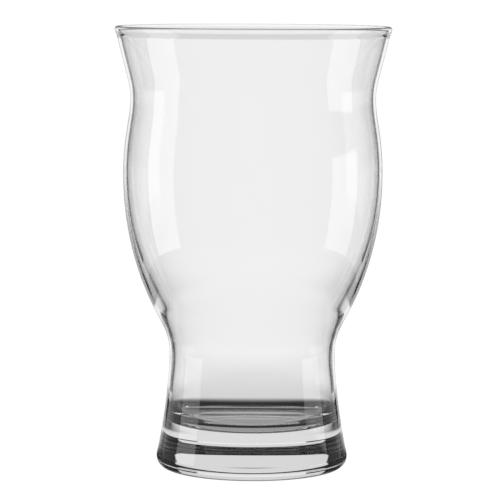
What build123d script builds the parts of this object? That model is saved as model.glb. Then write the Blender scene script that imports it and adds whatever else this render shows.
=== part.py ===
"""Pint glass: one melt of clear glass, turned about its own axis.

Millimetres, +Z up. The origin is the centre of the resting ring, on the plane it stands on.
The glass is a heavy solid foot, a waist, a full belly, a neck and a flared lip with a
fire-polished bead. Its outer side is a chain of cubic curves between stations: foot, waist,
shoulder, belly, neck and lip. The inner side has the same stations, each set in by the wall
thickness there. Both sides stand upright at the waist, the belly and the neck, where they
have a stated radius of bend, so the two curves that meet there bend alike.
"""

import os
from math import atan2, cos, sin, sqrt

from build123d import *

# Heights along the axis
glass_height = 146.0
neck_below_rim = 23.7
belly_below_neck = 25.0
waist_height = 37.5
shoulder_above_waist = 15.5
lip_below_rim = 4.0

# Outer radii at the stations
foot_radius = 32.56        # where the foot's side line would meet the table
waist_radius = 27.3
shoulder_radius = 32.4
belly_radius = 42.68
neck_radius = 40.3
lip_radius = 44.5

# Slopes of the outer side, outward run for each unit of rise
foot_slope = -0.219
shoulder_slope = 0.48
lip_slope = 0.232

# Radii of bend of the outer side, seen in section
waist_bend = 34.0
belly_bend = 105.0
neck_bend = 27.0

# How far the side runs straight out of a sloped station before it starts to turn
foot_run = 12.0
shoulder_run_down = 6.0
shoulder_run_up = 3.5
lip_run = 13.0

# Wall thickness at the stations
waist_wall = 1.8
shoulder_wall = 3.2
belly_wall = 1.41
neck_wall = 1.2
lip_wall = 1.2

# The inside of the belly is fullest a little above the outside, and bends tighter there
inner_belly_rise = 1.2
inner_belly_bend = 93.0

# Fire-polished rim
bead_radius = 0.85

# Solid foot
heel_radius = 4.0          # round between the side and the table
ring_width = 3.0           # flat ring that the glass rests on
push_up = 1.6              # rise of the underside's dome at its centre

# Bottom of the inside: a well that widens a little towards a flat round floor
floor_height = 13.9        # solid glass under the flat floor
corner_height = 9.0        # height of the rounded corner between the floor and the well's wall
corner_width = 10.1        # width of that corner, from the flat floor's edge out to the wall
well_wall = 1.88           # wall thickness, measured level, where the corner starts
well_slope = -0.06
well_run = 5.8             # how far the wall leads into the stem above and below
corner_run_down = 6.0      # how far the wall keeps going down before it turns in
corner_run_in = 6.5        # how far out the floor keeps level before it turns up


def point(radius, height):
    """A point of the section, which lies in the XZ plane."""
    return Vector(radius, 0, height)


def rise(slope):
    """The unit direction of a side that climbs at this slope."""
    return Vector(slope, 0, 1).normalized()


def inward(slope):
    """The unit normal of such a side, towards the axis."""
    return Vector(-1, 0, slope).normalized()


def reach(side_step, bend):
    """Length of a cubic's upright end handle that gives its end this radius of bend."""
    return sqrt(2 / 3 * abs(side_step) * bend)


def side_above_waist(waist_in=0.0, shoulder_in=0.0, belly_in=0.0, neck_in=0.0, lip_in=0.0,
                     belly_rise=0.0, bend_at_belly=belly_bend):
    """The side from the waist to the lip, set in from the outer side by the wall given.

    A hollow bend widens as the side moves in.
    """
    up = Vector(0, 0, 1)
    neck_height = glass_height - neck_below_rim
    waist = point(waist_radius - waist_in, waist_height)
    shoulder = point(shoulder_radius, waist_height + shoulder_above_waist)
    shoulder += inward(shoulder_slope) * shoulder_in
    belly = point(belly_radius - belly_in, neck_height - belly_below_neck + belly_rise)
    neck = point(neck_radius - neck_in, neck_height)
    lip = point(lip_radius, glass_height - lip_below_rim) + inward(lip_slope) * lip_in

    below_shoulder = shoulder - rise(shoulder_slope) * shoulder_run_down
    above_shoulder = shoulder + rise(shoulder_slope) * shoulder_run_up
    below_lip = lip - rise(lip_slope) * lip_run
    above_waist = waist + up * reach(below_shoulder.X - waist.X, waist_bend + waist_in)
    below_belly = belly - up * reach(belly.X - above_shoulder.X, bend_at_belly)
    above_belly = belly + up * reach(belly.X - neck.X, bend_at_belly)
    below_neck = neck - up * reach(belly.X - neck.X, neck_bend + neck_in)
    above_neck = neck + up * reach(below_lip.X - neck.X, neck_bend + neck_in)
    return [
        Bezier(waist, above_waist, below_shoulder, shoulder),
        Bezier(shoulder, above_shoulder, below_belly, belly),
        Bezier(belly, above_belly, below_neck, neck),
        Bezier(neck, above_neck, below_lip, lip),
    ]


def rim(outer_lip, inner_lip):
    """The wall swells into the bead: a short cubic each side and the bead's arc over the top."""
    climb = rise(lip_slope)
    outward = -inward(lip_slope)
    middle = (outer_lip + inner_lip) / 2
    centre = middle + climb * ((glass_height - bead_radius - middle.Z) / climb.Z)
    outer_edge = centre + outward * bead_radius
    inner_edge = centre - outward * bead_radius
    run = climb * ((centre - middle).length / 2)
    return [
        Bezier(outer_lip, outer_lip + run, outer_edge - run, outer_edge),
        ThreePointArc(outer_edge, centre + climb * bead_radius, inner_edge),
        Bezier(inner_edge, inner_edge - run, inner_lip + run, inner_lip),
    ]


def heel():
    """The outer side's foot: the round at the table and the straight side above it.

    Returns the round's centre and the point where it runs into the side.
    """
    outward = -inward(foot_slope)
    # The centre is a heel radius above the table and a heel radius inside the side line.
    centre_radius = foot_radius + foot_slope * heel_radius - heel_radius / outward.X
    centre = point(centre_radius, heel_radius)
    return centre, centre + outward * heel_radius


def foot_side():
    """From the table, round the heel and up the foot's hollow side to the waist."""
    centre, side_start = heel()
    outward = -inward(foot_slope)
    contact = point(centre.X, 0)
    middle = (outward + Vector(0, 0, -1)).normalized()
    side_turn = side_start + rise(foot_slope) * foot_run
    waist = point(waist_radius, waist_height)
    below_waist = waist - Vector(0, 0, 1) * reach(side_turn.X - waist.X, waist_bend)
    return [
        ThreePointArc(contact, centre + middle * heel_radius, side_start),
        Bezier(side_start, side_turn, below_waist, waist),
    ]


def radius_at(curve, height):
    """Radius of a side's climbing curve at this height, found by halving."""
    low, high = 0.0, 1.0
    for _ in range(40):
        middle = (low + high) / 2
        if (curve @ middle).Z < height:
            low = middle
        else:
            high = middle
    return (curve @ low).X


def well(inner_waist, outer_foot):
    """From the waist down the well's wall, round its corner and in over the flat floor."""
    well_height = floor_height + corner_height
    well_radius = radius_at(outer_foot, well_height) - well_wall
    wall_end = point(well_radius, well_height)
    floor_edge = point(well_radius - corner_width, floor_height)
    below_waist = inner_waist - Vector(0, 0, 1) * well_run
    return [
        Bezier(inner_waist, below_waist, wall_end + rise(well_slope) * well_run, wall_end),
        Bezier(wall_end, wall_end - rise(well_slope) * corner_run_down,
               floor_edge + Vector(corner_run_in, 0, 0), floor_edge),
        Line(floor_edge, point(0, floor_height)),
    ]


def underside():
    """The dome of the push-up, from the axis to the resting ring, and the ring's flat."""
    contact_radius = heel()[0].X
    ring_inner = contact_radius - ring_width
    top = point(0, push_up)
    # Radius of the sphere through the dome's top and the ring's inner edge
    dome_radius = (ring_inner ** 2 + push_up ** 2) / (2 * push_up)
    half_angle = atan2(ring_inner, dome_radius - push_up) / 2
    part_way = point(dome_radius * sin(half_angle),
                     push_up - dome_radius * (1 - cos(half_angle)))
    return [
        ThreePointArc(top, part_way, point(ring_inner, 0)),
        Line(point(ring_inner, 0), point(contact_radius, 0)),
    ]


def glass_body():
    """The whole section, turned once round the axis."""
    outer = side_above_waist()
    inner = side_above_waist(waist_wall, shoulder_wall, belly_wall, neck_wall, lip_wall,
                             inner_belly_rise, inner_belly_bend)
    foot = foot_side()
    edges = foot + outer + rim(outer[-1] @ 1, inner[-1] @ 1) + inner
    edges += well(inner[0] @ 0, foot[-1]) + underside()
    edges.append(Line(point(0, floor_height), point(0, push_up)))
    section = make_face(Wire(edges))
    return revolve(section, Axis.Z, 360)


os.makedirs("parts", exist_ok=True)
glass = glass_body()
export_step(glass, "parts/glass.step")

box = glass.bounding_box()
print(f"glass: {box.size.X:.2f} x {box.size.Y:.2f} x {box.size.Z:.2f} mm, "
      f"{glass.volume / 1000:.1f} ml of glass")
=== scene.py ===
# %% [markdown]
# # A pint glass in clear glass
#
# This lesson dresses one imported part: a stemless pint glass with a heavy solid foot, a waist,
# a full belly, a neck and a flared lip. The real object is a single melt of glass, so there is
# only one piece to make. All the work is in three things: a wall whose thickness is right
# everywhere, a material that bends light as glass does, and a studio that gives the glass
# something to bend. A clear glass has no look of its own. It shows the room.
#
# Sizes below are in millimetres, as a glassmaker's drawing has them, and are turned into
# metres as the section is drawn.

import math

import bmesh
import bpy
from mathutils import Matrix, Vector
from mathutils.bvhtree import BVHTree


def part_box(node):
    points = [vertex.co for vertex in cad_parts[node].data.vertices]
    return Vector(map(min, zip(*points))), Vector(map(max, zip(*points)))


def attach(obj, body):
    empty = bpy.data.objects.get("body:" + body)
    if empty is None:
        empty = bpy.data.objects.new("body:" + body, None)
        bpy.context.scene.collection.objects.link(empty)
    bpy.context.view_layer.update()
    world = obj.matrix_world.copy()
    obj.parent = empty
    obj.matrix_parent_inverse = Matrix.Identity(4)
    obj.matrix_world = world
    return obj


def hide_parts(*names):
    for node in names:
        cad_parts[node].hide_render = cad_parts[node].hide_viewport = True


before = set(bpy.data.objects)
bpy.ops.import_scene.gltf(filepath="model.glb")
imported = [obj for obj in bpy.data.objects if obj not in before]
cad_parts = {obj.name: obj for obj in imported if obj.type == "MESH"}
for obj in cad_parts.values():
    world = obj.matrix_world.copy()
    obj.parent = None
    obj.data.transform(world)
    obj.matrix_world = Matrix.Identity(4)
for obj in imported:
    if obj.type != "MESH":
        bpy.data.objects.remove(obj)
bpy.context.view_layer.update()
scene = bpy.context.scene
low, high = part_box("glass")
print("the packed glass stands", round(high.z * 1000, 2), "mm tall and is",
      round((high.x - low.x) * 1000, 2), "mm wide")

# %% [markdown]
# ## The stations of the wall
#
# On the real glass the outer side swings in at the waist, out to the belly, in again at the
# neck and out to the lip. Every one of those turns has a radius that you can measure. The wall
# is thick where the foot's solid glass ends, thin at the neck, and ends in a small round bead,
# because the rim is melted smooth in a flame.
#
# You could draw this with a subdivided cylinder, but the bends would then be where the
# subdivision puts them. A chain of cubic Bezier curves between stations keeps each station at
# its own height and radius, and its handles say how tightly the side bends there. These are
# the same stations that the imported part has.

# %% The outer stations and the wall set in from them
MM = 0.001

RIM = 146.0                     # height of the whole glass
NECK = RIM - 23.7
BELLY = NECK - 25.0
WAIST = 37.5
SHOULDER = WAIST + 15.5
LIP = RIM - 4.0

WAIST_RADIUS = 27.3
SHOULDER_RADIUS = 32.4
BELLY_RADIUS = 42.68
NECK_RADIUS = 40.3
LIP_RADIUS = 44.5
FOOT_RADIUS = 32.56             # where the foot's side line would meet the table

FOOT_SLOPE = -0.219             # outward run for each unit of rise
SHOULDER_SLOPE = 0.48
LIP_SLOPE = 0.232

WAIST_BEND = 34.0               # radius of the bend in the side at each turn
BELLY_BEND = 105.0
NECK_BEND = 27.0


def unit(slope):
    """The direction of a side that climbs at this slope, outward run for each unit of rise."""
    return Vector((slope, 1.0)).normalized()


def inward(slope):
    """The direction square to that side, towards the axis."""
    return Vector((-1.0, slope)).normalized()


def handle(side_step, bend):
    """Length of an upright handle that gives the curve's end this radius of bend."""
    return math.sqrt(2 / 3 * abs(side_step) * bend)


def side(waist_in, shoulder_in, belly_in, neck_in, lip_in, belly_rise, belly_bend):
    """Waist to lip, as cubics. Each one is its start, two handles and its end."""
    up = Vector((0.0, 1.0))
    waist = Vector((WAIST_RADIUS - waist_in, WAIST))
    shoulder = Vector((SHOULDER_RADIUS, SHOULDER)) + inward(SHOULDER_SLOPE) * shoulder_in
    belly = Vector((BELLY_RADIUS - belly_in, BELLY + belly_rise))
    neck = Vector((NECK_RADIUS - neck_in, NECK))
    lip = Vector((LIP_RADIUS, LIP)) + inward(LIP_SLOPE) * lip_in
    under = shoulder - unit(SHOULDER_SLOPE) * 6.0
    over = shoulder + unit(SHOULDER_SLOPE) * 3.5
    under_lip = lip - unit(LIP_SLOPE) * 13.0
    return [
        (waist, waist + up * handle(under.x - waist.x, WAIST_BEND + waist_in), under, shoulder),
        (shoulder, over, belly - up * handle(belly.x - over.x, belly_bend), belly),
        (belly, belly + up * handle(belly.x - neck.x, belly_bend),
         neck - up * handle(belly.x - neck.x, NECK_BEND + neck_in), neck),
        (neck, neck + up * handle(under_lip.x - neck.x, NECK_BEND + neck_in), under_lip, lip),
    ]


outer_side = side(waist_in=0.0, shoulder_in=0.0, belly_in=0.0, neck_in=0.0, lip_in=0.0,
                  belly_rise=0.0, belly_bend=BELLY_BEND)
inner_side = side(waist_in=1.8, shoulder_in=3.2, belly_in=1.41, neck_in=1.2, lip_in=1.2,
                  belly_rise=1.2, belly_bend=93.0)
print("belly wall", round(outer_side[1][3].x - inner_side[1][3].x, 2), "mm, waist wall",
      round(outer_side[0][0].x - inner_side[0][0].x, 2), "mm")

# %% [markdown]
# ## The rim, the foot and the well
#
# Three places finish the section. At the top the wall swells a little into a round bead. At
# the bottom the side turns under in a round heel and ends in a narrow flat ring, the only part
# that touches the table, and inside that ring the underside is pushed up in a shallow dome.
# Inside, the drink's space ends in a well with a flat floor, high above the table: below it the
# foot is solid glass, and acts as a lens.
#
# A circular arc has no exact cubic, but a cubic with handles of 4/3 tan(angle / 4) times the
# radius misses a quarter circle by less than one part in three thousand, far below what glass
# shows.


# %% The bead, the heel, the dome and the well
def arc(centre, start, end):
    """A circular arc of at most half a turn as cubics, the short way from start to end."""
    a, b = start - centre, end - centre
    turn = math.atan2(a.x * b.y - a.y * b.x, a.dot(b))
    parts = 2 if abs(turn) > 1.6 else 1
    curves = []
    for k in range(parts):
        p = Matrix.Rotation(turn * k / parts, 2) @ a
        q = Matrix.Rotation(turn * (k + 1) / parts, 2) @ a
        reach = 4 / 3 * math.tan(turn / parts / 4)
        p_side = Vector((-p.y, p.x)) * reach
        q_side = Vector((-q.y, q.x)) * reach
        curves.append((centre + p, centre + p + p_side, centre + q - q_side, centre + q))
    return curves


def straight(start, end):
    return [(start, start.lerp(end, 1 / 3), start.lerp(end, 2 / 3), end)]


bead = 0.85                     # radius of the fire-polished bead
climb = unit(LIP_SLOPE)
across = -inward(LIP_SLOPE)
outer_lip, inner_lip = outer_side[-1][3], inner_side[-1][3]
middle = (outer_lip + inner_lip) / 2
centre = middle + climb * ((RIM - bead - middle.y) / climb.y)
run = climb * ((centre - middle).length / 2)
out_edge, in_edge = centre + across * bead, centre - across * bead
top = centre + climb * bead
rim = [(outer_lip, outer_lip + run, out_edge - run, out_edge)]
rim += arc(centre, out_edge, top) + arc(centre, top, in_edge)
rim += [(in_edge, in_edge - run, inner_lip + run, inner_lip)]

heel = 4.0                      # radius of the round between the side and the table
foot_out = -inward(FOOT_SLOPE)
heel_centre = Vector((FOOT_RADIUS + FOOT_SLOPE * heel - heel / foot_out.x, heel))
contact = Vector((heel_centre.x, 0.0))
heel_end = heel_centre + foot_out * heel
foot_turn = heel_end + unit(FOOT_SLOPE) * 12.0
waist = outer_side[0][0]
foot = arc(heel_centre, contact, heel_end)
foot += [(heel_end, foot_turn,
          waist - Vector((0.0, 1.0)) * handle(foot_turn.x - waist.x, WAIST_BEND), waist)]

push_up = 1.6                   # height of the dome under the foot
ring_width = 3.0                # flat ring that the glass rests on
ring_in = Vector((contact.x - ring_width, 0.0))
dome_radius = (ring_in.x ** 2 + push_up ** 2) / (2 * push_up)
dome = arc(Vector((0.0, push_up - dome_radius)), Vector((0.0, push_up)), ring_in)
dome += straight(ring_in, contact)

floor_height = 13.9             # solid glass under the floor
down_wall = -unit(-0.06)        # the well's wall widens a little on its way down
inner_waist = inner_side[0][0]
wall_end = Vector((26.6, floor_height + 9.0))
floor_edge = Vector((16.5, floor_height))
well = [
    (inner_waist, inner_waist - Vector((0.0, 5.8)), wall_end - down_wall * 5.8, wall_end),
    (wall_end, wall_end + down_wall * 6.0, floor_edge + Vector((6.5, 0.0)), floor_edge),
]
well += straight(floor_edge, Vector((0.0, floor_height)))


def backwards(curves):
    return [tuple(reversed(c)) for c in reversed(curves)]


section = dome + foot + outer_side + rim + backwards(inner_side) + well
print(len(section), "cubics run from the dome's top, up the outside, over the rim and down",
      "the inside to the middle of the floor")

# %% [markdown]
# ## The section as a curve
#
# Blender's own Bezier splines are cubics of this kind, so the chain goes into one without any
# loss. Each control point takes its left handle from the cubic before it and its right handle
# from the cubic after it. The curve lies in the XZ plane with the axis of the glass on Z.


# %% Write the chain into a Bezier spline
def to_space(p):
    return Vector((p.x * MM, 0.0, p.y * MM))


section_data = bpy.data.curves.new("glass_section", "CURVE")
section_data.dimensions = "3D"
section_data.resolution_u = 64
spline = section_data.splines.new("BEZIER")
spline.bezier_points.add(len(section))
for i, point in enumerate(spline.bezier_points):
    point.handle_left_type = point.handle_right_type = "FREE"
    here = section[i][0] if i < len(section) else section[-1][3]
    before = section[i - 1][2] if i > 0 else here
    after = section[i][1] if i < len(section) else here
    point.co = to_space(here)
    point.handle_left = to_space(before)
    point.handle_right = to_space(after)
section_object = bpy.data.objects.new("glass_section", section_data)
scene.collection.objects.link(section_object)
print("the section is", round(spline.calc_length() * 1000, 1), "mm long")

# %% [markdown]
# ## The lathe
#
# A glass that was blown while it turned has a simple rule: take the section round the axis.
# The Spin tool and the Screw modifier do that too, but a Geometry Nodes lathe keeps the rule
# open. You can change how many steps it takes and see what that does to the light.
#
# The tree first cuts the section into points, the same number for each cubic, so the tight
# bends of the heel and the bead get the closest steps. It lays out a flat grid whose one side
# counts those points and whose other side counts steps round the axis, and wraps the grid
# round. Merge by Distance then closes the seam and draws the grid's two ends, which lie on the
# axis, into single points, so the skin is watertight.
#
# Glass is unforgiving of coarse meshes, because every facet bends the light its own way. A
# finer mesh helps, and true normals help more: the tree turns the section's tangent by a
# quarter turn and stores it with each point as the way out of the glass.

# %% Build the lathe's node tree
lathe = bpy.data.node_groups.new("Glass lathe", "GeometryNodeTree")
face = lathe.interface
face.new_socket("Section", in_out="INPUT", socket_type="NodeSocketObject")
face.new_socket("Steps per cubic", in_out="INPUT", socket_type="NodeSocketInt")
face.new_socket("Steps round", in_out="INPUT", socket_type="NodeSocketInt")
face.new_socket("Weld distance", in_out="INPUT", socket_type="NodeSocketFloat")
face.new_socket("Finish", in_out="INPUT", socket_type="NodeSocketMaterial")
face.new_socket("Body", in_out="OUTPUT", socket_type="NodeSocketGeometry")


def node(tree, kind, settings=None, **sockets):
    """A new node, its settings, and its inputs by name: a value or another node's output."""
    made = tree.nodes.new(kind)
    for name, value in (settings or {}).items():
        setattr(made, name, value)
    for name, value in sockets.items():
        key = int(name[1:]) if name[0] == "i" and name[1:].isdigit() else name.replace("_", " ")
        if isinstance(value, bpy.types.NodeSocket):
            tree.links.new(value, made.inputs[key])
        else:
            made.inputs[key].default_value = value
    return made


given = lathe.nodes.new("NodeGroupInput")
drawn = node(lathe, "GeometryNodeObjectInfo", {"transform_space": "RELATIVE"},
             Object=given.outputs["Section"])
finer = node(lathe, "GeometryNodeSetSplineResolution", None,
             i0=drawn.outputs["Geometry"], Resolution=given.outputs["Steps per cubic"])
cut = node(lathe, "GeometryNodeResampleCurve", {"mode": "EVALUATED"}, Curve=finer.outputs[0])
count = node(lathe, "GeometryNodeAttributeDomainSize", {"component": "CURVE"},
             Geometry=cut.outputs[0]).outputs["Point Count"]
grid = node(lathe, "GeometryNodeMeshGrid", None, Size_X=1.0, Size_Y=1.0,
            Vertices_X=count, Vertices_Y=given.outputs["Steps round"])
position = lathe.nodes.new("GeometryNodeInputPosition").outputs[0]
where = node(lathe, "ShaderNodeSeparateXYZ", None, i0=position)
last = node(lathe, "ShaderNodeMath", {"operation": "SUBTRACT"}, i0=count, i1=1.0)
along = node(lathe, "ShaderNodeMath", {"operation": "MULTIPLY_ADD"},
             i0=where.outputs["X"], i1=last.outputs[0])
half_way = node(lathe, "ShaderNodeMath", {"operation": "MULTIPLY"},
                i0=last.outputs[0], i1=0.5)
lathe.links.new(half_way.outputs[0], along.inputs[2])
index = node(lathe, "FunctionNodeFloatToInt", {"rounding_mode": "ROUND"},
             i0=along.outputs[0]).outputs[0]
turn = node(lathe, "ShaderNodeMath", {"operation": "MULTIPLY"},
            i0=where.outputs["Y"], i1=2 * math.pi)
here = node(lathe, "GeometryNodeSampleIndex", {"data_type": "FLOAT_VECTOR"},
            Geometry=cut.outputs[0], Index=index)
lathe.links.new(position, here.inputs["Value"])
heading = node(lathe, "GeometryNodeSampleIndex", {"data_type": "FLOAT_VECTOR"},
               Geometry=cut.outputs[0], Index=index)
lathe.links.new(lathe.nodes.new("GeometryNodeInputTangent").outputs[0],
                heading.inputs["Value"])
ahead = node(lathe, "ShaderNodeSeparateXYZ", None, i0=heading.outputs[0])
backward = node(lathe, "ShaderNodeMath", {"operation": "MULTIPLY"},
                i0=ahead.outputs["X"], i1=-1.0)
way_out = node(lathe, "ShaderNodeCombineXYZ", None,
               X=ahead.outputs["Z"], Z=backward.outputs[0])
spun = node(lathe, "ShaderNodeVectorRotate", {"rotation_type": "Z_AXIS"},
            Vector=here.outputs[0], Angle=turn.outputs[0])
spun_out = node(lathe, "ShaderNodeVectorRotate", {"rotation_type": "Z_AXIS"},
                Vector=way_out.outputs[0], Angle=turn.outputs[0])
kept = node(lathe, "GeometryNodeStoreNamedAttribute",
            {"data_type": "FLOAT_VECTOR", "domain": "POINT"},
            Geometry=grid.outputs["Mesh"], Name="way_out", Value=spun_out.outputs[0])
placed = node(lathe, "GeometryNodeSetPosition", None,
              Geometry=kept.outputs[0], Position=spun.outputs[0])
welded = node(lathe, "GeometryNodeMergeByDistance", None,
              Geometry=placed.outputs[0], Distance=given.outputs["Weld distance"])
smooth = node(lathe, "GeometryNodeSetShadeSmooth", None, i0=welded.outputs[0])
real = node(lathe, "GeometryNodeRealizeInstances", None, i0=smooth.outputs[0])
finished = node(lathe, "GeometryNodeSetMaterial", None,
                Geometry=real.outputs[0], Material=given.outputs["Finish"])
result = node(lathe, "NodeGroupOutput", None, Body=finished.outputs[0])
print("the lathe has", len(lathe.nodes), "nodes")

# %% [markdown]
# ## The glass itself
#
# Soda-lime glass bends light by 1.52 and reflects about four parts in a hundred at each
# surface. Nothing needs to be painted for that: full transmission, no roughness and the right
# index do it, and Cycles works out every bright edge and dark line from the wall's real
# thickness.
#
# A new glass is still not perfect, and the small faults tell the eye that it is real. Blown
# walls have a slow waviness, too shallow to feel, that makes reflections swim a little. And
# the ring that the glass stands on has been slid over many tables: it is finely scuffed, so it
# is less clear than the rest. The waviness is a large, very weak noise in the bump. The scuffs
# are a fine noise in the roughness, kept to the ring by a mask on height, which is the Z of
# Object coordinates.

# %% The clear glass material
clear = bpy.data.materials.new("clear_glass")
clear.use_nodes = True
tree = clear.node_tree
glass = tree.nodes["Principled BSDF"]
glass.inputs["Base Color"].default_value = (0.994, 0.996, 0.995, 1.0)
glass.inputs["Metallic"].default_value = 0.0
glass.inputs["IOR"].default_value = 1.52
glass.inputs["Transmission Weight"].default_value = 1.0

coords = tree.nodes.new("ShaderNodeTexCoord").outputs["Object"]
height = node(tree, "ShaderNodeSeparateXYZ", None, i0=coords).outputs["Z"]
waves = node(tree, "ShaderNodeTexNoise", None, Vector=coords, Scale=28.0, Detail=1.0)
bump = node(tree, "ShaderNodeBump", None, Strength=0.02, Distance=0.0005,
            Height=waves.outputs["Fac"])
tree.links.new(bump.outputs["Normal"], glass.inputs["Normal"])

scuffs = node(tree, "ShaderNodeTexNoise", None, Vector=coords, Scale=900.0, Detail=4.0,
              Roughness=0.7)
scuffed = node(tree, "ShaderNodeMapRange", None, Value=scuffs.outputs["Fac"],
               From_Min=0.45, From_Max=0.75, To_Min=0.0, To_Max=0.22)
on_ring = node(tree, "ShaderNodeMapRange", {"interpolation_type": "SMOOTHSTEP"}, Value=height,
               From_Min=0.00005, From_Max=0.0004, To_Min=1.0, To_Max=0.0)
wear = node(tree, "ShaderNodeMath", {"operation": "MULTIPLY"},
            i0=scuffed.outputs[0], i1=on_ring.outputs[0])
tree.links.new(wear.outputs[0], glass.inputs["Roughness"])
print("clear glass: index", glass.inputs["IOR"].default_value)

# %% [markdown]
# ## Turn the glass
#
# The lathe now runs on an empty mesh. A modifier's inputs are set by the identifier of each
# socket, before the object is first evaluated. The result is copied to a plain mesh, so the
# finished piece has no modifier left and can be sent anywhere. Its faces must point out of the
# glass, into the air on both the outer and the inner side, or light would bend the wrong way.


# %% Run the lathe and keep its result as a plain mesh
def set_input(modifier, name, value):
    for item in modifier.node_group.interface.items_tree:
        if item.item_type == "SOCKET" and item.in_out == "INPUT" and item.name == name:
            modifier[item.identifier] = value


blank = bpy.data.objects.new("blank", bpy.data.meshes.new("blank"))
scene.collection.objects.link(blank)
turning = blank.modifiers.new("lathe", "NODES")
turning.node_group = lathe
set_input(turning, "Section", section_object)
set_input(turning, "Steps per cubic", 22)
set_input(turning, "Steps round", 193)
set_input(turning, "Weld distance", 0.000004)
set_input(turning, "Finish", clear)
evaluated = blank.evaluated_get(bpy.context.evaluated_depsgraph_get())
body_mesh = bpy.data.meshes.new_from_object(evaluated)
body_mesh.name = "pint_glass"
bpy.data.objects.remove(blank)
bpy.data.objects.remove(section_object)

work = bmesh.new()
work.from_mesh(body_mesh)
bmesh.ops.recalc_face_normals(work, faces=work.faces)
open_edges = sum(1 for e in work.edges if not e.is_manifold)
volume = work.calc_volume()
work.to_mesh(body_mesh)
work.free()
stored = body_mesh.attributes["way_out"]
outward = [Vector(stored.data[i].vector) for i in range(len(body_mesh.vertices))]
body_mesh.attributes.remove(stored)
body_mesh.normals_split_custom_set_from_vertices(outward)
pint_glass = bpy.data.objects.new("pint_glass", body_mesh)
scene.collection.objects.link(pint_glass)
body_mesh.calc_loop_triangles()
print(len(body_mesh.loop_triangles), "triangles,", open_edges, "open edges,",
      round(volume * 1e6, 2), "ml of glass")

# %% [markdown]
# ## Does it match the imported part?
#
# The piece has to be the part, not look like it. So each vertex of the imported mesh, which lies
# exactly on the CAD surface, is dropped on to the new skin, and the longest drop is printed.

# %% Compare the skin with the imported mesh
skin = BVHTree.FromObject(pint_glass, bpy.context.evaluated_depsgraph_get())
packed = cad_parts["glass"].data
drops = [skin.find_nearest(v.co)[3] for v in packed.vertices]
print("longest way from the packed surface to the new skin:",
      round(max(drops) * 1000, 4), "mm")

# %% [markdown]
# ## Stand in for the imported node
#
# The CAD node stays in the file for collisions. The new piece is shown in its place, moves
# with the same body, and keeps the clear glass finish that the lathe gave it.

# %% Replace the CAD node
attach(pint_glass, "root")
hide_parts("glass")

# %% [markdown]
# ## The table
#
# A clear glass is set on a plain white ground. Seen straight, the ground is white. Seen through
# the foot, it matters more: the solid foot looks down at the spot it stands on, where its own
# body keeps the light away, and that spot shows as a grey disc inside the glass. Here that
# shade is not cast but painted: the ground's material glows with a painted shadow.
#
# Light that has been bent by the glass therefore sees a painted ground: a painted grey patch
# where the dome lets some light in, painted darkness under the ring and the heel, a painted
# soft shadow that clears a few centimetres out, and painted light from the rear panel. Light
# that came through the solid foot and light that crossed the hollow get different painted
# shadows. Real light does not keep such a count. It is a studio trick, like a retoucher's
# mask, and it touches only the ground and the room, never the glass.

# %% The table, and what its material measures to paint shadow and light for bent light
table_mesh = bpy.data.meshes.new("table")
work = bmesh.new()
bmesh.ops.create_circle(work, cap_ends=True, segments=128, radius=3.0)
work.to_mesh(table_mesh)
work.free()
table = bpy.data.objects.new("table", table_mesh)
scene.collection.objects.link(table)
ground = bpy.data.materials.new("white_table_painted_shadow")
ground.use_nodes = True
tree = ground.node_tree
tree.nodes.remove(tree.nodes["Principled BSDF"])
path = tree.nodes.new("ShaderNodeLightPath")
coords = tree.nodes.new("ShaderNodeTexCoord").outputs["Object"]
away = node(tree, "ShaderNodeVectorMath", {"operation": "LENGTH"}, i0=coords).outputs["Value"]
across_x, across_y, _ = node(tree, "ShaderNodeSeparateXYZ", None, i0=coords).outputs


plain_white = 1.02              # what the camera sees beside the glass


def calc(operation, *values):
    """A Math node's result."""
    return node(tree, "ShaderNodeMath", {"operation": operation},
                **{f"i{k}": v for k, v in enumerate(values)}).outputs[0]


def fade(value, start, stop, low, high):
    """Goes softly from low to high while the value goes from start to stop."""
    return node(tree, "ShaderNodeMapRange", {"interpolation_type": "SMOOTHSTEP"}, Value=value,
                From_Min=start, From_Max=stop, To_Min=low, To_Max=high).outputs[0]


print("the table is", table.dimensions.x, "m across")

# %% [markdown]
# The ground's painted light and shadow is a sum of soft steps in the distance from the glass
# and in the bearing round it, where 0 is in front.

# %% The painted shadow and light that bent light sees on the ground
# Painted shade under the foot: the dome lets some light in, the ring and the heel almost none
painted_shade_under_foot = fade(away, 0.0235, 0.0255, 0.33, 0.03)
bearing = calc("ABSOLUTE", calc("ARCTAN2", across_x, calc("MULTIPLY", across_y, -1.0)))

# Light straight from the solid foot sees painted light from the rear panel on the table, and no
# other
behind = fade(bearing, math.radians(128), math.radians(145), 0.02, 0.75)
from_foot = calc("ADD", painted_shade_under_foot, calc("MULTIPLY", fade(away, 0.031, 0.042, 0.0, 1.0),
                                         behind))

# Light that has crossed the hollow sees painted grey in front, and behind it the foot's painted
# soft shadow
in_front = fade(bearing, math.radians(80), math.radians(110), 0.33, 0.0)
shadow_end = fade(away, 0.045, 0.074, 0.0, 0.76)
brighter = fade(away, 0.12, 0.35, 0.0, 0.25)
near_front = calc("MULTIPLY", fade(away, 0.031, 0.033, 0.0, 1.0), in_front)
from_hollow = calc("ADD", calc("ADD", painted_shade_under_foot, calc("MAXIMUM", near_front, shadow_end)),
                   brighter)

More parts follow.
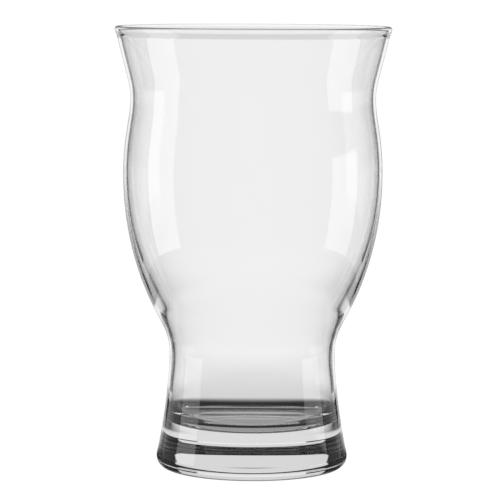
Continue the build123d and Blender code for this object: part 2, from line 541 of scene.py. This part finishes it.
crossings = path.outputs["Transmission Depth"]
mirrored = calc("SUBTRACT", path.outputs["Ray Depth"], crossings)
crossed = calc("MULTIPLY", calc("GREATER_THAN", crossings, 3.5),
               calc("LESS_THAN", mirrored, 0.5))
# Bent light picks one of the two painted shadows by the glass surfaces it has crossed
painted_ground_light = node(tree, "ShaderNodeMix", {"data_type": "FLOAT"}, i0=crossed)
tree.links.new(from_foot, painted_ground_light.inputs[2])
tree.links.new(from_hollow, painted_ground_light.inputs[3])
# The ground itself glows with this painted shadow and light; no lamp lights it
dim = node(tree, "ShaderNodeEmission", None, Color=(1.0, 1.0, 1.0, 1.0),
           Strength=painted_ground_light.outputs[0])
open_air = tree.nodes.new("ShaderNodeBsdfTransparent")
edge = calc("ADD", 0.20, calc("MULTIPLY", crossed, 0.25))    # past this it is clear to bent light
cleared = calc("GREATER_THAN", away, edge)
under = node(tree, "ShaderNodeMixShader", None, i0=cleared,
             i1=dim.outputs[0], i2=open_air.outputs[0])
white = node(tree, "ShaderNodeEmission", None, Color=(1.0, 1.0, 1.0, 1.0), Strength=plain_white)
seen = node(tree, "ShaderNodeMixShader", None, i0=path.outputs["Is Camera Ray"],
            i1=under.outputs[0], i2=white.outputs[0])
tree.links.new(seen.outputs[0], tree.nodes["Material Output"].inputs["Surface"])
table_mesh.materials.append(ground)
print("the ground's material has", len(tree.nodes), "nodes")

# %% [markdown]
# ## The studio
#
# Glass is lit by what surrounds it. The usual setting is a bright field: a large white panel
# behind the glass, darkness at both sides, so that the edges of the glass draw themselves as
# dark lines, and two tall soft strips beside the camera's line, which leave the long pale
# streaks on the belly. Area lights could do it, but a panel close to the glass shows its own
# shape through the foot. Here the World plays all the panels, as if they stood far away. Each
# one is a span of compass angle and of height angle with soft edges.
#
# The first cell sets up the angles and the rear panels.

# %% The compass of the World and the rear panels
studio = bpy.data.worlds.new("studio")
scene.world = studio
studio.use_nodes = True
tree = studio.node_tree


def span(angle, first, last, soft=1.0):
    """1 where the angle lies between first and last, 0 outside, with soft ends."""
    rising = node(tree, "ShaderNodeMapRange", {"interpolation_type": "SMOOTHSTEP"},
                  Value=angle, From_Min=first - soft, From_Max=first + soft)
    falling = node(tree, "ShaderNodeMapRange", {"interpolation_type": "SMOOTHSTEP"},
                   Value=angle, From_Min=last - soft, From_Max=last + soft,
                   To_Min=1.0, To_Max=0.0)
    return calc("MULTIPLY", rising.outputs[0], falling.outputs[0])


direction = node(tree, "ShaderNodeSeparateXYZ", None,
                 i0=tree.nodes.new("ShaderNodeTexCoord").outputs["Generated"])
x, y, z = direction.outputs
signed = calc("MULTIPLY", calc("ARCTAN2", x, calc("MULTIPLY", y, -1.0)), 180 / math.pi)
compass = calc("ABSOLUTE", signed)
climb_angle = calc("MULTIPLY", calc("ARCSINE", z), 180 / math.pi)



def add_panels(light, panels, seen_by=1.0):
    """Adds panels: first and last compass angle (0 in front, 180 behind), lowest and highest
    height angle, brightness. Only the light that seen_by marks with 1 sees them."""
    for first, last, lowest, highest, brightness in panels:
        lit = calc("MULTIPLY", span(compass, first, last), span(climb_angle, lowest, highest))
        light = calc("ADD", light, calc("MULTIPLY", calc("MULTIPLY", lit, seen_by), brightness))
    return light


darkness = 0.02                 # what is left between the panels
light = add_panels(darkness, [(155, 182, -92, 3, 0.90), (140, 182, 3, 22, 0.72)])
print("the rear panels are in", len(tree.nodes), "nodes")

# %% [markdown]
# Light is told apart here by how many surfaces of glass it has crossed, and by how often it
# has been mirrored besides. Light that the outer skin mirrors has crossed nothing, and it alone
# sees the two soft strips. It also sees a pale wall to each side of the rear panel, fainter
# higher up, and less light straight behind, which leaves a thin grey outline. The number of
# mirrorings comes out one too high in the World, so a straight path has 1 there.

# %% What the outer skin mirrors, and what the hollow shows
path = tree.nodes.new("ShaderNodeLightPath")
crossings = path.outputs["Transmission Depth"]
mirrored = calc("SUBTRACT", path.outputs["Ray Depth"], crossings)
hollow = calc("GREATER_THAN", crossings, 2.5)
light = add_panels(light, [(140, 182, 22, 60, 0.35)], hollow)

on_skin = calc("LESS_THAN", crossings, 0.5)
on_left = calc("MULTIPLY", calc("LESS_THAN", x, 0.0), span(climb_angle, -45, 12, 0.8))
on_right = calc("MULTIPLY", calc("GREATER_THAN", x, 0.0), span(climb_angle, -45, 4.0, 1.0))
strips = calc("MULTIPLY", span(compass, 74, 106), calc("ADD", on_left, on_right))
low_down = calc("ADD", 0.20, calc("MULTIPLY", span(climb_angle, -95, -1.5, 1.5), 0.40))
side_wall = calc("MULTIPLY", span(compass, 108, 146), low_down)
dimmer = calc("MULTIPLY", span(compass, 168, 182), -0.55)
on_it = calc("ADD", calc("MULTIPLY", strips, 1.7), calc("ADD", side_wall, dimmer))
light = calc("MAXIMUM", calc("ADD", light, calc("MULTIPLY", on_it, on_skin)), darkness)

# What the far inside of the bowl mirrors just once
once = calc("MULTIPLY", calc("GREATER_THAN", crossings, 3.5), calc("LESS_THAN", mirrored, 2.5))
light = add_panels(light, [(100, 160, -30, 2, 0.70)], once)
print("the mirrored panels are in", len(tree.nodes), "nodes")

# %% [markdown]
# Light that has come straight through both thin walls of the bowl has crossed four surfaces. It
# sees an evenly lit room, so the bowl stays clear from every side. So does light that looks
# down over the rim and through one wall only. Two more panels, at the sides and in front, are
# there for light that has gone straight through one wall or the foot.

# %% The open room, and white for the camera itself
unmirrored = calc("LESS_THAN", mirrored, 1.5)
two_surfaces = calc("MULTIPLY", calc("GREATER_THAN", crossings, 1.5),
                    calc("LESS_THAN", crossings, 3.5))
straight_on = calc("MULTIPLY", unmirrored, two_surfaces)
light = add_panels(light, [(68, 112, -9, 14, 0.85), (-1, 48, -9, 14, 0.70)], straight_on)

room = 1.03
both_walls = calc("GREATER_THAN", crossings, 3.5)
one_wall = calc("MULTIPLY", calc("GREATER_THAN", crossings, 1.5),
                span(climb_angle, -95, -7, 0.7))
through_bowl = calc("MULTIPLY", calc("MAXIMUM", both_walls, one_wall), unmirrored)
bent = node(tree, "ShaderNodeMix", {"data_type": "FLOAT"}, i0=through_bowl)
tree.links.new(light, bent.inputs[2])
bent.inputs[3].default_value = room
seen = node(tree, "ShaderNodeMix", {"data_type": "FLOAT"}, i0=path.outputs["Is Camera Ray"])
tree.links.new(bent.outputs[0], seen.inputs[2])
seen.inputs[3].default_value = plain_white
tree.links.new(seen.outputs[0], tree.nodes["Background"].inputs["Strength"])
tree.nodes["Background"].inputs["Color"].default_value = (1.0, 1.0, 1.0, 1.0)
print("the whole studio is in", len(tree.nodes), "nodes")

# %% [markdown]
# ## How far light may travel
#
# A ray may turn many times inside the solid foot before it leaves. If it is stopped early, it
# shows as a black speck, so the limits on bounces are raised. The light that glass gathers into
# bright patterns is kept too. The colours are shown plainly, without the film-like curve that
# would grey the white ground.

# %% Bounces and colour
scene.cycles.max_bounces = 24
scene.cycles.transmission_bounces = 24
scene.cycles.glossy_bounces = 16
scene.cycles.transparent_max_bounces = 24
scene.cycles.caustics_refractive = True
scene.cycles.caustics_reflective = True
scene.view_settings.view_transform = "Standard"

# %% [markdown]
# ## The camera
#
# A long lens about a metre away, a little above the rim and tipped down by some five degrees,
# shows the rim as a thin ellipse and keeps the sides nearly parallel. That is the usual view of
# tableware in a catalogue. The small lens shift and roll set where the glass stands in view.

# %% Place the camera
lens = bpy.data.cameras.new("camera")
lens.sensor_width = 36.0
lens.lens = 203.63
lens.shift_x = -0.00508
lens.clip_start, lens.clip_end = 0.01, 50.0
camera = bpy.data.objects.new("camera", lens)
scene.collection.objects.link(camera)
camera.matrix_world = (Matrix.Translation((0.0, -0.930, 0.164))
                       @ Matrix.Rotation(math.radians(90 - 5.632), 4, "X")
                       @ Matrix.Rotation(math.radians(0.245), 4, "Z"))
scene.camera = camera
print("the camera stands", round(camera.location.length, 3), "m from the foot")
